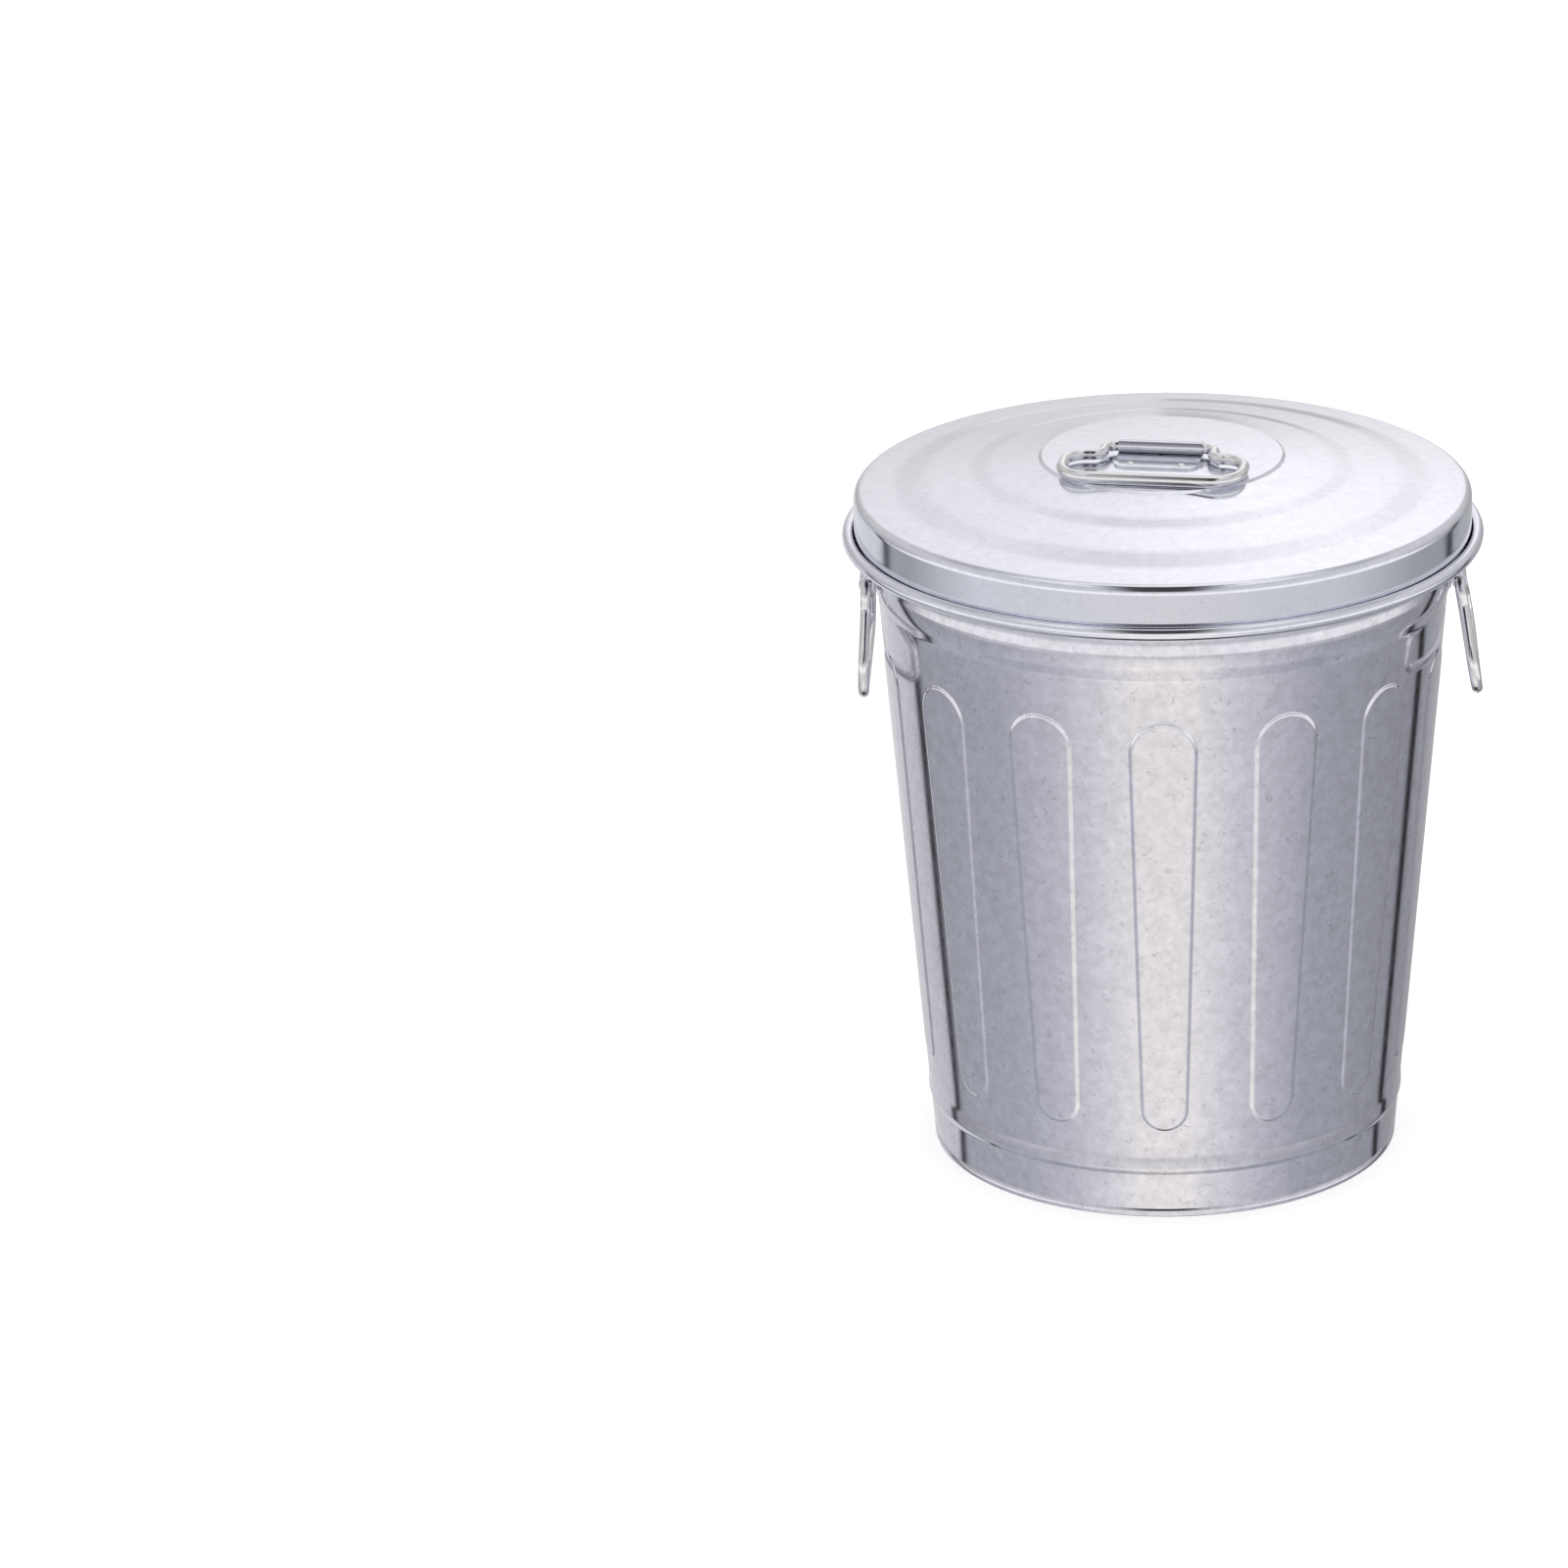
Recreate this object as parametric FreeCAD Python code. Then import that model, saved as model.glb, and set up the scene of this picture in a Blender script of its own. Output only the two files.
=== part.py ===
import FreeCAD, Part
import math
import os

# A round sheet-steel can with a loose lid. Millimetres, +Z up, origin at the centre of the base.
# The front of the can faces -Y and the two side bails hang at +X and -X.

# --- body wall ---
body_sheet = 0.7            # thickness of the body's sheet
base_radius = 128.26        # outside of the wall's cone, carried down to the floor
wall_slope = 0.0834         # growth of the wall's radius with height
foot_tuck = 0.3             # the foot band lies this far inside the cone
foot_height = 26.0          # top of the foot band
foot_crest = 3.0            # from the foot band's top up to the crest of the foot bead
foot_bead_height = 11.0     # from the foot band's top up to the foot bead's upper edge
foot_bead_out = 0.9         # how far the crest stands outside the cone
neck_depth = 56.8           # from the top of the rim down to where the wall steps out to the neck
neck_step_height = 5.0      # height of the neck's sloping step
neck_out = 1.2              # how far the neck stands outside the cone

# --- flutes, pressed outward ---
flute_count = 14
flute_headroom = 24.0       # from a flute's highest point up to the neck's step
flute_bottom = 53.3         # lowest point of a flute
flute_top_width = 36.4      # width at the upper rounded end
flute_bottom_width = 25.4   # width at the lower rounded end
flute_depth = 1.3
flute_side = 2.2            # width of a flute's sloping side

# --- folded side seam, at the back between two flutes ---
seam_width = 8.0
seam_out = 1.0
seam_margin = 4.0           # the seam stops this far short of the neck and of the foot bead

# --- rolled rim and its wire ---
body_height = 377.8         # top of the rolled rim
rim_wire_diameter = 5.5
rim_wire_clearance = 0.1
rim_roll_angle = 310.0      # how far the sheet rolls round the wire

# --- bottom pan ---
pan_sheet = 0.7
pan_recess = 8.0            # clear height under the pan
pan_corner = 3.5
hook_height = 5.0           # height of the hook that folds up outside the wall
seam_clearance = 0.05       # between the pan and the wall in the fold

# --- lid ---
lid_sheet = 0.7
lid_clearance = 0.73        # between the lid's skirt and the rolled rim, on the radius
lid_bead_diameter = 7.2
lid_skirt = 25.0            # from the shoulder's corner down to the bead's centre
lid_roll_angle = 310.0
disc_radius = 65.5
disc_step_width = 1.6
disc_step_drop = 1.2
inner_ring_radius = 94.0    # the lid falls in gentle rings, each with a steeper step
inner_ring_drop = 4.2
inner_step_width = 10.0
inner_step_drop = 2.7
outer_ring_drop = 3.8
outer_step_width = 16.0
outer_step_drop = 4.2
brim_drop = 2.5             # fall of the flat brim out to the shoulder
disc_step_bend = 0.8        # bend radii along the lid's section
ring_bend = 12.0
shoulder_radius = 3.2
lid_gap = 0.4               # between the lid's brim and the rolled rim
brim_width = 22.5

# --- barrel clips and rivets, alike on the lid and on both sides ---
clip_sheet = 1.2
clip_length = 46.0          # length of the barrel
clip_reach = 26.0           # from the barrel's axis to the plate's far edge
clip_corner = 7.0
clip_roll_slit = 0.7        # slit between the rolled edge and the plate
rivet_spacing = 27.8
rivet_reach = 20.5          # from the barrel's axis to the rivets
rivet_diameter = 3.0
rivet_head_diameter = 5.6
rivet_head_height = 1.0
rivet_tail_height = 0.7
rivet_clearance = 0.05
lid_turn = -8.0             # degrees that the lid is turned on the can, seen from above
lid_clip_offset = 2.4       # the lid clip's barrel lies this far in front of the lid's centre
side_clip_depth = 47.3      # from the top of the rim down to the side clips' barrels
seat_margin = 0.6           # the pressed flats are this much larger than the clips

# --- bails ---
wire_diameter = 6.0
barrel_clearance = 0.1      # round the wire in its barrel
wire_end_gap = 1.6          # between the two ends of a wire inside its barrel
bail_end_gap = 0.5          # from the barrel's end to the bend beside it
bail_bend = 6.5             # bend radius of the wire's centre line beside the barrel
shoulder_bend = 6.0         # bend radius where a leg turns outward
lid_bail_half_width = 49.0  # all bail sizes are taken on the wire's centre line
lid_bail_reach = 52.7       # from the barrel's axis to the grip
lid_bail_shoulder = 16.0    # from the barrel's axis to the shoulder
lid_bail_rear_bend = 12.5
lid_bail_grip_bend = 17.0
lid_bail_lift = 0.3         # between the folded bail and the lid's disc
side_bail_half_width = 58.5
side_bail_reach = 52.0
side_bail_neck = 13.0       # where the leg of a side bail flares outward
side_bail_flare = 32.0      # where the flare ends
side_bail_flare_bend = 10.0
side_bail_grip_bend = 9.0
right_bail_tilt = 10.0      # degrees that the hanging bails stand out from plumb
left_bail_tilt = 1.5

V = FreeCAD.Vector
UP = V(0, 0, 1)
ORIGIN = V(0, 0, 0)

taper = math.atan(wall_slope)
wall_up = V(math.sin(taper), 0, math.cos(taper))
wall_out = V(math.cos(taper), 0, -math.sin(taper))
wire_radius = wire_diameter / 2
neck_height = body_height - neck_depth
flute_top = neck_height - flute_headroom
side_clip_height = body_height - side_clip_depth
barrel_bore = wire_radius + barrel_clearance
barrel_radius = barrel_bore + clip_sheet
rivet_hole_radius = rivet_diameter / 2 + rivet_clearance


def wall_radius(z):
    """Outside radius of the plain conical wall at a height."""
    return base_radius + wall_slope * z


def on_wall(z, out=0.0):
    """Point of the wall's section at a height, moved out sideways from the cone."""
    return V(wall_radius(z) + out, 0, z)


def rounded_path(corners):
    """Edges through the corners, each a point with the radius of the bend there."""
    edges = []
    start = corners[0][0]
    for (before, _), (corner, radius), (after, _) in zip(corners, corners[1:], corners[2:]):
        back = (before - corner).normalize()
        ahead = (after - corner).normalize()
        half = back.getAngle(ahead) / 2
        setback = radius / math.tan(half)
        middle = (back + ahead).normalize()
        crown = corner + middle * (radius / math.sin(half) - radius)
        first = corner + back * setback
        last = corner + ahead * setback
        edges.append(Part.LineSegment(start, first).toShape())
        edges.append(Part.Arc(first, crown, last).toShape())
        start = last
    edges.append(Part.LineSegment(start, corners[-1][0]).toShape())
    return edges


def rolled(start, centre, angle):
    """Arc in the XZ plane from start about centre, by an angle in degrees, from Z towards X."""
    def turned(part):
        return centre + FreeCAD.Rotation(V(0, 1, 0), angle * part).multVec(start - centre)
    return Part.Arc(start, turned(0.5), turned(1.0)).toShape()


def sheet_section(edges, thickness):
    """Face of even thickness to the left of a section line, or to its right where negative."""
    return Part.Wire(edges).makeOffset2D(thickness, 2, True, True)


def turned_solid(face):
    return face.revolve(ORIGIN, UP, 360)


def place(shape, origin, along, normal):
    """Copy of a shape with its X axis along one direction and its Z axis along another."""
    copy = shape.copy()
    rotation = FreeCAD.Rotation(along, V(), normal, "XZY")
    copy.Placement = FreeCAD.Placement(origin, rotation).multiply(copy.Placement)
    return copy


def spun(shape, angle):
    copy = shape.copy()
    copy.rotate(ORIGIN, UP, angle)
    return copy


# --- rolled rim: the sheet passes up inside the wire and rolls outward over it ---
rim_bore = rim_wire_diameter / 2 + rim_wire_clearance
rim_roll_radius = rim_bore + body_sheet
rim_start_height = body_height - rim_roll_radius + rim_bore * math.sin(taper)
rim_start = on_wall(rim_start_height, neck_out)
rim_centre = rim_start + wall_out * rim_bore


# --- body wall with its foot bead, neck and rim ---
wall_start_height = pan_sheet + seam_clearance
neck_top = neck_height + neck_step_height
wall_edges = rounded_path([
    (on_wall(wall_start_height, -foot_tuck), 0),
    (on_wall(foot_height, -foot_tuck), 1.0),
    (on_wall(foot_height + foot_crest, foot_bead_out), 1.8),
    (on_wall(foot_height + foot_bead_height), 4.0),
    (on_wall(neck_height), 5.0),
    (on_wall(neck_top, neck_out), 2.5),
    (rim_start, 0),
])
wall_edges.append(rolled(rim_start, rim_centre, rim_roll_angle))
body_shell = turned_solid(sheet_section(wall_edges, body_sheet))


def wall_band(inner, outer):
    """Conical band between two distances outside the wall, as high as the flutes reach."""
    low = flute_bottom - flute_side
    high = flute_top + flute_side
    corners = [on_wall(low, inner), on_wall(low, outer), on_wall(high, outer), on_wall(high, inner)]
    return turned_solid(Part.Face(Part.makePolygon(corners + corners[:1])))


def flute_outline(depth, inset):
    """Long outline with round ends on a plane along the wall at azimuth -Y, drawn in from its edge."""
    top_radius = flute_top_width / 2
    bottom_radius = flute_bottom_width / 2
    top_centre = (flute_top - top_radius) / math.cos(taper)
    bottom_centre = (flute_bottom + bottom_radius) / math.cos(taper)
    lean = math.asin((top_radius - bottom_radius) / (top_centre - bottom_centre))

    def point(centre, radius, angle):
        across = (radius - inset) * math.cos(angle)
        along = centre + (radius - inset) * math.sin(angle)
        return V(across, along, depth)
    right_top = point(top_centre, top_radius, -lean)
    left_top = point(top_centre, top_radius, math.pi + lean)
    right_bottom = point(bottom_centre, bottom_radius, -lean)
    left_bottom = point(bottom_centre, bottom_radius, math.pi + lean)
    return Part.Wire([
        Part.Arc(right_top, point(top_centre, top_radius, math.pi / 2), left_top).toShape(),
        Part.LineSegment(left_top, left_bottom).toShape(),
        Part.Arc(left_bottom, point(bottom_centre, bottom_radius, -math.pi / 2), right_bottom).toShape(),
        Part.LineSegment(right_bottom, right_top).toShape(),
    ])


def flute_block(shift):
    """Solid with a flute's sloping sides, moved out along the wall's normal."""
    slant = flute_side / flute_depth
    low = -3 * flute_depth
    high = 2 * flute_depth
    block = Part.makeLoft([flute_outline(low, low * slant), flute_outline(high, high * slant)], True, True)
    block.translate(V(0, 0, shift))
    out = V(0, -math.cos(taper), -math.sin(taper))
    return place(block, V(0, -base_radius, 0), V(1, 0, 0), out)


pitch = 360.0 / flute_count
half_turn = 180.0
raised = Part.makeCompound([spun(flute_block(0), pitch * i) for i in range(flute_count)])
hollows = Part.makeCompound([spun(flute_block(-body_sheet), pitch * i) for i in range(flute_count)])
raised = raised.common(wall_band(-body_sheet / 2, flute_depth))
hollows = hollows.common(wall_band(-2 * body_sheet, flute_depth - body_sheet))
body_shell = body_shell.fuse(raised).cut(hollows)

# The folded side seam lies between two flutes at the back.
seam_low = foot_height + foot_bead_height + seam_margin
seam_high = neck_height - seam_margin
seam_block = Part.makeBox(seam_width, 2 * base_radius, seam_high - seam_low, V(-seam_width / 2, 0, seam_low))
seam_corners = [
    on_wall(seam_low, -body_sheet / 2),
    on_wall(seam_low, seam_out),
    on_wall(seam_high, seam_out),
    on_wall(seam_high, -body_sheet / 2),
]
seam_band = turned_solid(Part.Face(Part.makePolygon(seam_corners + seam_corners[:1])))
seam = spun(seam_block.common(seam_band), half_turn + pitch * (flute_count // 2 + 0.5))
body_shell = body_shell.fuse(seam)


# --- barrel clip: lies on the XY plane, barrel along X, plate towards -Y ---
roll_lift = clip_sheet + clip_roll_slit
roll_angle = 360 - math.degrees(math.acos((barrel_radius - roll_lift) / barrel_radius))


def barrel_point(angle):
    """Point on the outside of the barrel, from the seat round its back."""
    turn = math.radians(angle)
    return V(0, barrel_radius * math.sin(turn), barrel_radius - barrel_radius * math.cos(turn))


clip_section = sheet_section([
    Part.LineSegment(V(0, -clip_reach, 0), barrel_point(0)).toShape(),
    Part.Arc(barrel_point(0), barrel_point(roll_angle / 2), barrel_point(roll_angle)).toShape(),
], -clip_sheet)
clip_section.translate(V(-clip_length / 2, 0, 0))
clip = clip_section.extrude(V(clip_length, 0, 0))
far_edges = [
    edge for edge in clip.Edges
    if abs(edge.Length - clip_sheet) < 1e-3 and abs(edge.CenterOfMass.y + clip_reach) < 1e-3
]
clip = clip.makeFillet(clip_corner, far_edges)
rivet_places = [V(side * rivet_spacing / 2, -rivet_reach, 0) for side in (-1, 1)]
for spot in rivet_places:
    clip = clip.cut(Part.makeCylinder(rivet_hole_radius, clip_sheet, spot))


def rivet(spot, gripped):
    """Round-headed rivet through the clip and the sheet under it, with a flat tail."""
    head_radius = rivet_head_diameter / 2
    shank_radius = rivet_diameter / 2
    tail_radius = head_radius - rivet_tail_height / 2
    rim = V(head_radius, 0, clip_sheet)
    crown = V(0, 0, clip_sheet + rivet_head_height)
    ball_radius = (head_radius ** 2 + rivet_head_height ** 2) / (2 * rivet_head_height)
    lean = math.asin(head_radius / ball_radius) / 2
    centre = crown - V(0, 0, ball_radius)
    between = centre + V(ball_radius * math.sin(lean), 0, ball_radius * math.cos(lean))
    below = -gripped - rivet_tail_height
    rest = [
        rim,
        V(shank_radius, 0, clip_sheet),
        V(shank_radius, 0, -gripped),
        V(tail_radius, 0, -gripped),
        V(tail_radius, 0, below),
        V(0, 0, below),
        crown,
    ]
    outline = [Part.Arc(crown, between, rim).toShape()]
    outline += Part.makePolygon(rest).Edges
    solid = Part.Face(Part.Wire(outline)).revolve(ORIGIN, UP, 360)
    solid.translate(spot)
    return solid


def rivet_pair(gripped):
    return Part.makeCompound([rivet(spot, gripped) for spot in rivet_places])


def rivet_holes(gripped):
    through = Part.makeCylinder(rivet_hole_radius, 3 * gripped, V(0, 0, -2 * gripped))
    return Part.makeCompound([through.translated(spot) for spot in rivet_places])


# --- side clips: each on a flat that is pressed out in the neck ---
seat = on_wall(side_clip_height, neck_out)
side_along = V(0, -1, 0)
flat_width = clip_length + 2 * seat_margin
flat_height = barrel_radius + clip_reach + seat_margin


def flat_block(inset, low, high):
    """Block over a clip's flat, drawn in from its four sides, between two distances from the seat."""
    width = flat_width - 2 * inset
    height = flat_height - 2 * inset
    return Part.makeBox(width, height, high - low, V(-width / 2, barrel_radius - inset - height, low))


flat_sagitta = seat.x - math.sqrt(seat.x ** 2 - flat_width ** 2 / 4)
flat_floor = -2 * flat_sagitta - body_sheet
neck_core_corners = [
    V(0, 0, neck_height),
    on_wall(neck_height, neck_out - body_sheet / 2),
    on_wall(body_height, neck_out - body_sheet / 2),
    V(0, 0, body_height),
]
neck_core = turned_solid(Part.Face(Part.makePolygon(neck_core_corners + neck_core_corners[:1])))
right_flat = place(flat_block(0, flat_floor, 0), seat, side_along, wall_out).cut(neck_core)
right_hollow = place(flat_block(body_sheet, 2 * flat_floor, -body_sheet), seat, side_along, wall_out)
right_holes = place(rivet_holes(body_sheet), seat, side_along, wall_out)
for turn in (0, half_turn):
    body_shell = body_shell.fuse(spun(right_flat, turn))
    body_shell = body_shell.cut(spun(right_hollow, turn))
    body_shell = body_shell.cut(spun(right_holes, turn))

right_clip = place(clip, seat, side_along, wall_out)
left_clip = spun(right_clip, half_turn)
right_rivets = place(rivet_pair(body_sheet), seat, side_along, wall_out)
body_rivets = Part.makeCompound(right_rivets.Solids + spun(right_rivets, half_turn).Solids)


# --- rim wire ---
rim_wire = Part.makeTorus(rim_centre.x, rim_wire_diameter / 2, V(0, 0, rim_centre.z), UP)


# --- bottom pan, hooked round the wall's lower edge ---
outside_wall = -foot_tuck + seam_clearance
inside_wall = -foot_tuck - body_sheet / math.cos(taper) - seam_clearance
pan_floor = pan_recess
fold_bend = 0.1
pan_edges = rounded_path([
    (on_wall(hook_height, outside_wall), 0),
    (on_wall(pan_sheet, outside_wall), fold_bend),
    (on_wall(pan_sheet, inside_wall), fold_bend),
    (on_wall(pan_floor, inside_wall), pan_corner - pan_sheet),
    (V(0, 0, pan_floor), 0),
])
body_bottom = turned_solid(sheet_section(pan_edges, pan_sheet))


# --- lid: its heights follow from the rim that it rests on ---
skirt_radius = rim_centre.x + rim_roll_radius + lid_clearance + lid_sheet
brim_start = skirt_radius - brim_width
brim_slope = math.atan(brim_drop / brim_width)
brim_height = rim_centre.z + (rim_roll_radius + lid_gap + lid_sheet) / math.cos(brim_slope)
shoulder_height = brim_height - (skirt_radius - rim_centre.x) * math.tan(brim_slope)
lid_rings = [
    (disc_radius + disc_step_width, disc_step_drop),
    (inner_ring_radius, inner_ring_drop),
    (inner_ring_radius + inner_step_width, inner_step_drop),
    (brim_start - outer_step_width, outer_ring_drop),
    (brim_start, outer_step_drop),
    (skirt_radius, brim_drop),
]
lid_top = shoulder_height + sum(drop for _, drop in lid_rings)
lid_corners = [(V(0, 0, lid_top), 0), (V(disc_radius, 0, lid_top), disc_step_bend)]
height = lid_top
for radius, drop in lid_rings:
    height -= drop
    lid_corners.append((V(radius, 0, height), ring_bend))
lid_corners[2] = (lid_corners[2][0], disc_step_bend)
lid_corners[-1] = (lid_corners[-1][0], shoulder_radius)
bead_height = shoulder_height - lid_skirt
bead_start = V(skirt_radius, 0, bead_height)
bead_bore = lid_bead_diameter / 2 - lid_sheet
lid_edges = rounded_path(lid_corners + [(bead_start, 0)])
lid_edges.append(rolled(bead_start, bead_start + V(bead_bore, 0, 0), -lid_roll_angle))
lid_shell = turned_solid(sheet_section(lid_edges, -lid_sheet))

lid_frame = FreeCAD.Rotation(UP, lid_turn)
lid_along = lid_frame.multVec(V(1, 0, 0))
lid_seat = lid_frame.multVec(V(0, -lid_clip_offset, 0)) + V(0, 0, lid_top)
lid_clip = place(clip, lid_seat, lid_along, UP)
lid_rivets = place(rivet_pair(lid_sheet), lid_seat, lid_along, UP)
lid_shell = lid_shell.cut(place(rivet_holes(lid_sheet), lid_seat, lid_along, UP))


# --- bails: bent in the XY plane with the barrel's axis along X and the grip towards -Y ---
bail_leg = clip_length / 2 + bail_end_gap + bail_bend


def bail(corners):
    """Wire bail through the corners of its left half, each a width, a reach and a bend radius."""
    first = V(-wire_end_gap / 2, 0, 0)
    left = [(V(-width, -reach, 0), bend) for width, reach, bend in corners]
    right = [(V(-point.x, point.y, 0), bend) for point, bend in reversed(left)]
    path = Part.Wire(rounded_path([(first, 0)] + left + right + [(V(-first.x, 0, 0), 0)]))
    section = Part.Wire(Part.makeCircle(wire_radius, first, V(1, 0, 0)))
    return path.makePipeShell([section], True, False)


lid_bail_flat = bail([
    (bail_leg, 0, bail_bend),
    (bail_leg, lid_bail_shoulder, shoulder_bend),
    (lid_bail_half_width, lid_bail_shoulder, lid_bail_rear_bend),
    (lid_bail_half_width, lid_bail_reach, lid_bail_grip_bend),
])
side_bail_flat = bail([
    (bail_leg, 0, bail_bend),
    (bail_leg, side_bail_neck, shoulder_bend),
    (side_bail_half_width, side_bail_flare, side_bail_flare_bend),
    (side_bail_half_width, side_bail_reach, side_bail_grip_bend),
])

# The lid's bail lies folded forward, with its grip just above the disc.
droop = math.asin((barrel_radius - wire_radius - lid_bail_lift) / lid_bail_reach)
lid_axis = lid_seat + V(0, 0, barrel_radius)
lid_normal = FreeCAD.Rotation(lid_along, math.degrees(droop)).multVec(UP)
lid_bail = place(lid_bail_flat, lid_axis, lid_along, lid_normal)

# The side bails hang down from their barrels, the right one standing out a little.
side_axis = seat + wall_out * barrel_radius


def hanging(tilt):
    """Side bail on the +X side, hanging at an angle out from plumb."""
    lean = math.radians(tilt)
    return place(side_bail_flat, side_axis, side_along, V(-math.cos(lean), 0, -math.sin(lean)))


right_bail = hanging(right_bail_tilt)
left_bail = spun(hanging(left_bail_tilt), half_turn)

nodes = {
    "body_shell": body_shell,
    "body_bottom": body_bottom,
    "rim_wire": rim_wire,
    "right_clip": right_clip,
    "left_clip": left_clip,
    "body_rivets": body_rivets,
    "right_bail": right_bail,
    "left_bail": left_bail,
    "lid_shell": lid_shell,
    "lid_clip": lid_clip,
    "lid_rivets": lid_rivets,
    "lid_bail": lid_bail,
}
os.makedirs("parts", exist_ok=True)
for name, shape in nodes.items():
    shape.exportStep("parts/" + name + ".step")
    print(name, len(shape.Solids), "solids,", round(shape.Volume / 1000, 1), "cm3, valid", shape.isValid())
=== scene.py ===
"""A galvanized trash can with a loose lid, seen from the front and a little above."""
import math

import bmesh
import bpy
from mathutils import Matrix, Vector


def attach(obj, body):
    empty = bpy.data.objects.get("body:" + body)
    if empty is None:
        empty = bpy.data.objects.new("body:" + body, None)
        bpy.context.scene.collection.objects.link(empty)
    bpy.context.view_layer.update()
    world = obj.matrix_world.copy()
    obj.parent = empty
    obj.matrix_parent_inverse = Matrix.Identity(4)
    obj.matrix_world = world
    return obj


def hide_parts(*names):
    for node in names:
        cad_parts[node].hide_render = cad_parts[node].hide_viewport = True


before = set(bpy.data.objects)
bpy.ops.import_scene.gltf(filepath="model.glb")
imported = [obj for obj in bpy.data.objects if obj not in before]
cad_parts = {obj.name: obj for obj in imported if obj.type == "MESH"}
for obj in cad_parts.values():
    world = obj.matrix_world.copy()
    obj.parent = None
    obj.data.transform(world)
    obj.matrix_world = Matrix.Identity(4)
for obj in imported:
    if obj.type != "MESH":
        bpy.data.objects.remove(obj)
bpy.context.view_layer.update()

MM = 0.001

# --- sizes in millimetres; heights are from the floor ---
SHEET = 0.7                   # thickness of the wall, the pan and the lid
STEPS_ROUND = 280             # facets round the pan and the lid

BASE_RADIUS = 128.26          # outside of the wall's cone, carried down to the floor
WALL_SLOPE = 0.0834           # growth of the wall's radius with height
TAPER = math.atan(WALL_SLOPE)
BODY_TOP = 377.8              # top of the rolled rim
RIM_BORE = 2.85               # inner radius of the rim's roll
ROLL_ANGLE = 310              # degrees that the rim and the lid's bead roll round

FOOT_TUCK = 0.3               # the foot band lies this far inside the cone
FOOT_BAND = 26.0              # top of the foot band
FOOT_CREST = 29.0             # crest of the foot bead
FOOT_CREASE = 37.0            # upper edge of the foot bead
FOOT_BEAD = 0.9               # how far the crest stands outside the cone
FOOT_ROWS = (2.4, 1.2, 0.8)   # close rows that keep the shading even down to the edge

NECK_LOW = 321.0              # crease under the neck
NECK_CREST = 331.5
NECK_SWELL = 2.5              # how far the neck's crest stands outside the cone
NECK_HIGH = 343.5
NECK_IN = 0.5                 # the same, above the swell
NECK_OUT = 1.2                # the same, under the rim

SEAM_LOW = 41.0
SEAM_HIGH = 317.0
SEAM_WIDTH = 8.0
SEAM_FOLD = 1.5               # thickness of the folded seam
SEAM_OUT = 0.25               # the fold's middle stands this far outside the cone
SEAM_ROUND = 0.5

CLIP_SEAT_HEIGHT = 330.5
FLAT_SIZE = (4.0, 47.2, 30.9)
FLAT_RAISE = 11.2             # middle of a flat above its clip's axis
FLAT_ROUND = 0.7

FLUTES = 14
FLUTE_TOP = 297.0
FLUTE_BOTTOM = 53.3
FLUTE_TOP_RADIUS = 18.2
FLUTE_BOTTOM_RADIUS = 12.7
FLUTE_DEPTH = 0.75
FLUTE_SIDE = 2.4              # width of a flute's sloping side
FLUTE_START = 0.4             # the side starts this far outside the flute's outline
FLUTE_RINGS = (2.2, 1.2, 0.4, 0.05, -0.3, -0.65, -1.0, -1.35, -1.7, -2.05, -2.4, -3.2)
FLUTE_SHARES = (0.8, 0.6, 0.4, 0.2, 0.0)

PAN_HEIGHT = 8.0              # clear height under the pan
PAN_CORNER = 2.8
HOOK_TOP = 5.0                # upper edge of the pan's hook, outside the wall
HOOK_LOW = 0.7                # the fold under the wall's edge
HOOK_GAP = 0.05               # between the wall and the hook

LID_TOP = 396.98              # the lid's middle disc
DISC_RADIUS = 65.5
SKIRT_RADIUS = 168.5
SHOULDER_HEIGHT = 378.38
SHOULDER_BEND = 4.6
LID_BEAD_HEIGHT = 353.38      # middle of the lid's rolled bead
LID_BEAD_BORE = 2.9           # inner radius of its roll

WIRE_RADIUS = 3.0
WIRE_FACETS = 20
WIRE_STEP = math.radians(8)   # turn between two rings in a bend
WIRE_END = 0.8                # each end of the wire stops this far from the barrel's middle
BARREL_HEIGHT = 4.3           # the lid's barrel axis above the disc
LID_TURN = math.radians(-8.0)
LID_SEAT = Vector((-0.334, -2.3766, LID_TOP))
LID_DROOP = math.asin(1.0 / 52.7)
SIDE_AXIS = Vector((161.3088, 0.0, 330.1426))
RIGHT_TILT = math.radians(10.0)
LEFT_TILT = math.radians(1.5)
BAIL_LEG = 30.0


def wall_radius(z):
    return BASE_RADIUS + WALL_SLOPE * z


def on_wall(z, out=0.0):
    """Point of the wall's section at a height, in the XZ plane."""
    return Vector((wall_radius(z) + out, 0.0, z))


# --- mesh helpers ---
def finish_mesh(bm, name, body, nodes, material, sharp=40.0):
    """Turns a bmesh in millimetres into a smooth piece that rides on a body."""
    bmesh.ops.scale(bm, vec=(MM, MM, MM), verts=bm.verts)
    mesh = bpy.data.meshes.new(name)
    bm.to_mesh(mesh)
    bm.free()
    mesh.polygons.foreach_set("use_smooth", [True] * len(mesh.polygons))
    mesh.set_sharp_from_angle(angle=math.radians(sharp))
    mesh.materials.append(material)
    piece = bpy.data.objects.new(name, mesh)
    bpy.context.scene.collection.objects.link(piece)
    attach(piece, body)
    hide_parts(*nodes)
    return piece


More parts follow.
